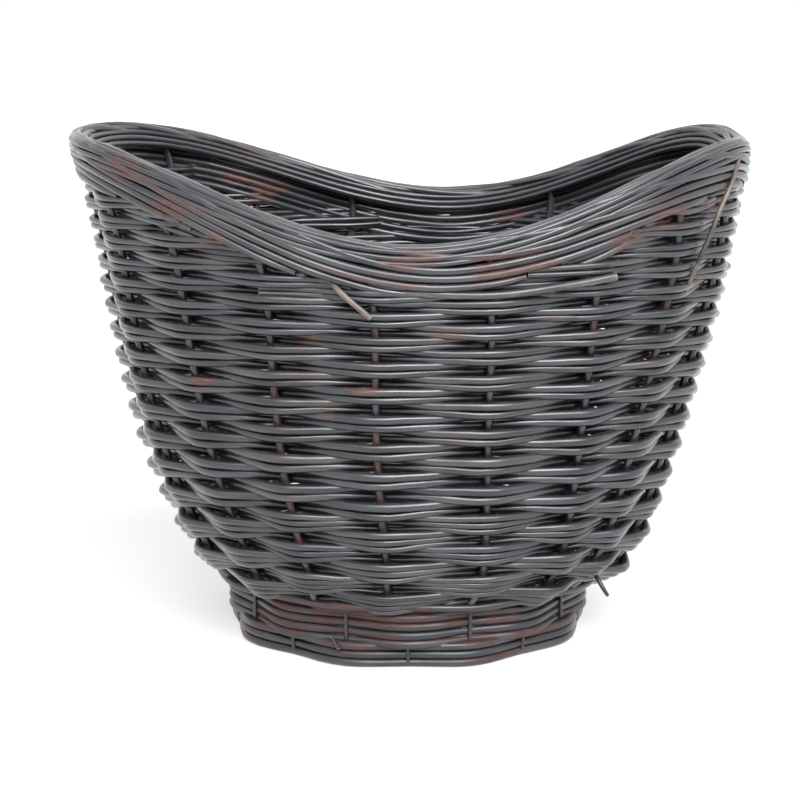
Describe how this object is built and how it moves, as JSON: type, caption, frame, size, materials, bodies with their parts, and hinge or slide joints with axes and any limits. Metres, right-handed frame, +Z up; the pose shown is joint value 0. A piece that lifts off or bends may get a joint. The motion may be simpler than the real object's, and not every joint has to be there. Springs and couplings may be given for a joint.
{
  "type": "footed woven bowl",
  "caption": "Footed oval bowl woven from dark stained willow, with a saddle-shaped rim rolled into a border and a round woven foot.",
  "frame": {"origin": "on the floor under the middle of the bowl", "axes": "+X along the bowl's length, +Y from the front to the back, +Z up"},
  "size_m": [0.362, 0.2425, 0.2697],
  "materials": {
    "base_rod_1": "dark stain with a soft wax sheen",
    "base_rod_2": "dark stain with a soft wax sheen",
    "base_rod_3": "dark stain with a soft wax sheen",
    "base_rod_4": "dark stain with a soft wax sheen",
    "base_rod_5": "dark stain with a soft wax sheen",
    "base_rod_6": "dark stain with a soft wax sheen",
    "base_rod_7": "dark stain with a soft wax sheen",
    "base_rod_8": "dark stain with a soft wax sheen",
    "base_rod_9": "dark stain with a soft wax sheen",
    "base_ring_1": "dark stain with a soft wax sheen",
    "base_ring_2": "dark stain with a soft wax sheen",
    "base_ring_3": "dark stain with a soft wax sheen",
    "base_ring_4": "dark stain with a soft wax sheen",
    "base_ring_5": "dark stain with a soft wax sheen",
    "foot_row_lower": "dark stain with a soft wax sheen",
    "foot_row_upper": "dark stain rubbed through to red-brown",
    "stake_01": "dark stain with a soft wax sheen, rubbed through in a few places",
    "stake_02": "dark stain with a soft wax sheen, rubbed through in a few places",
    "stake_03": "dark stain with a soft wax sheen, rubbed through in a few places",
    "stake_04": "dark stain with a soft wax sheen, rubbed through in a few places",
    "stake_05": "dark stain with a soft wax sheen, rubbed through in a few places",
    "stake_06": "dark stain with a soft wax sheen, rubbed through in a few places",
    "stake_07": "dark stain with a soft wax sheen, rubbed through in a few places",
    "stake_08": "dark stain with a soft wax sheen, rubbed through in a few places",
    "stake_09": "dark stain with a soft wax sheen, rubbed through in a few places",
    "stake_10": "dark stain with a soft wax sheen, rubbed through in a few places",
    "stake_11": "dark stain with a soft wax sheen, rubbed through in a few places",
    "stake_12": "dark stain with a soft wax sheen, rubbed through in a few places",
    "stake_13": "dark stain with a soft wax sheen, rubbed through in a few places",
    "stake_14": "dark stain with a soft wax sheen, rubbed through in a few places",
    "stake_15": "dark stain with a soft wax sheen, rubbed through in a few places",
    "stake_16": "dark stain with a soft wax sheen, rubbed through in a few places",
    "stake_17": "dark stain with a soft wax sheen, rubbed through in a few places",
    "stake_18": "dark stain with a soft wax sheen, rubbed through in a few places",
    "wall_row_01": "dark stain with a soft wax sheen",
    "wall_row_02": "dark stain with a soft wax sheen",
    "wall_row_03": "dark stain with a soft wax sheen",
    "wall_row_04": "dark stain with a soft wax sheen",
    "wall_row_05": "dark stain with a soft wax sheen",
    "wall_row_06": "dark stain with a soft wax sheen",
    "wall_row_07": "dark stain with a soft wax sheen",
    "wall_row_08": "dark stain with a soft wax sheen",
    "wall_row_09": "dark stain with a soft wax sheen",
    "wall_row_10": "dark stain with a soft wax sheen",
    "wall_row_11": "dark stain with a soft wax sheen",
    "wall_row_12": "dark stain with a soft wax sheen",
    "wall_row_13": "dark stain with a soft wax sheen",
    "wall_row_14": "dark stain with a soft wax sheen",
    "wall_row_15": "dark stain with a soft wax sheen",
    "wall_row_16": "dark stain with a soft wax sheen",
    "wall_row_17": "dark stain with a soft wax sheen",
    "wall_row_18": "dark stain with a soft wax sheen",
    "wall_row_19": "dark stain with a soft wax sheen",
    "wall_row_20": "dark stain with a soft wax sheen",
    "wall_row_21": "dark stain with a soft wax sheen",
    "wall_row_22": "dark stain with a soft wax sheen",
    "end_packing_right": "dark stain with a soft wax sheen",
    "end_packing_left": "dark stain with a soft wax sheen"
  },
  "bodies": {
    "root": {"base_rod_1": "base_rod_1", "base_rod_2": "base_rod_2", "base_rod_3": "base_rod_3", "base_rod_4": "base_rod_4", "base_rod_5": "base_rod_5", "base_rod_6": "base_rod_6", "base_rod_7": "base_rod_7", "base_rod_8": "base_rod_8", "base_rod_9": "base_rod_9", "base_ring_1": "base_ring_1", "base_ring_2": "base_ring_2", "base_ring_3": "base_ring_3", "base_ring_4": "base_ring_4", "base_ring_5": "base_ring_5", "foot_row_lower": "foot_row_lower", "foot_row_upper": "foot_row_upper", "stake_01": "stake_01", "stake_02": "stake_02", "stake_03": "stake_03", "stake_04": "stake_04", "stake_05": "stake_05", "stake_06": "stake_06", "stake_07": "stake_07", "stake_08": "stake_08", "stake_09": "stake_09", "stake_10": "stake_10", "stake_11": "stake_11", "stake_12": "stake_12", "stake_13": "stake_13", "stake_14": "stake_14", "stake_15": "stake_15", "stake_16": "stake_16", "stake_17": "stake_17", "stake_18": "stake_18", "wall_row_01": "wall_row_01", "wall_row_02": "wall_row_02", "wall_row_03": "wall_row_03", "wall_row_04": "wall_row_04", "wall_row_05": "wall_row_05", "wall_row_06": "wall_row_06", "wall_row_07": "wall_row_07", "wall_row_08": "wall_row_08", "wall_row_09": "wall_row_09", "wall_row_10": "wall_row_10", "wall_row_11": "wall_row_11", "wall_row_12": "wall_row_12", "wall_row_13": "wall_row_13", "wall_row_14": "wall_row_14", "wall_row_15": "wall_row_15", "wall_row_16": "wall_row_16", "wall_row_17": "wall_row_17", "wall_row_18": "wall_row_18", "wall_row_19": "wall_row_19", "wall_row_20": "wall_row_20", "wall_row_21": "wall_row_21", "wall_row_22": "wall_row_22", "end_packing_right": "end_packing_right", "end_packing_left": "end_packing_left"}
  },
  "joints": []
}
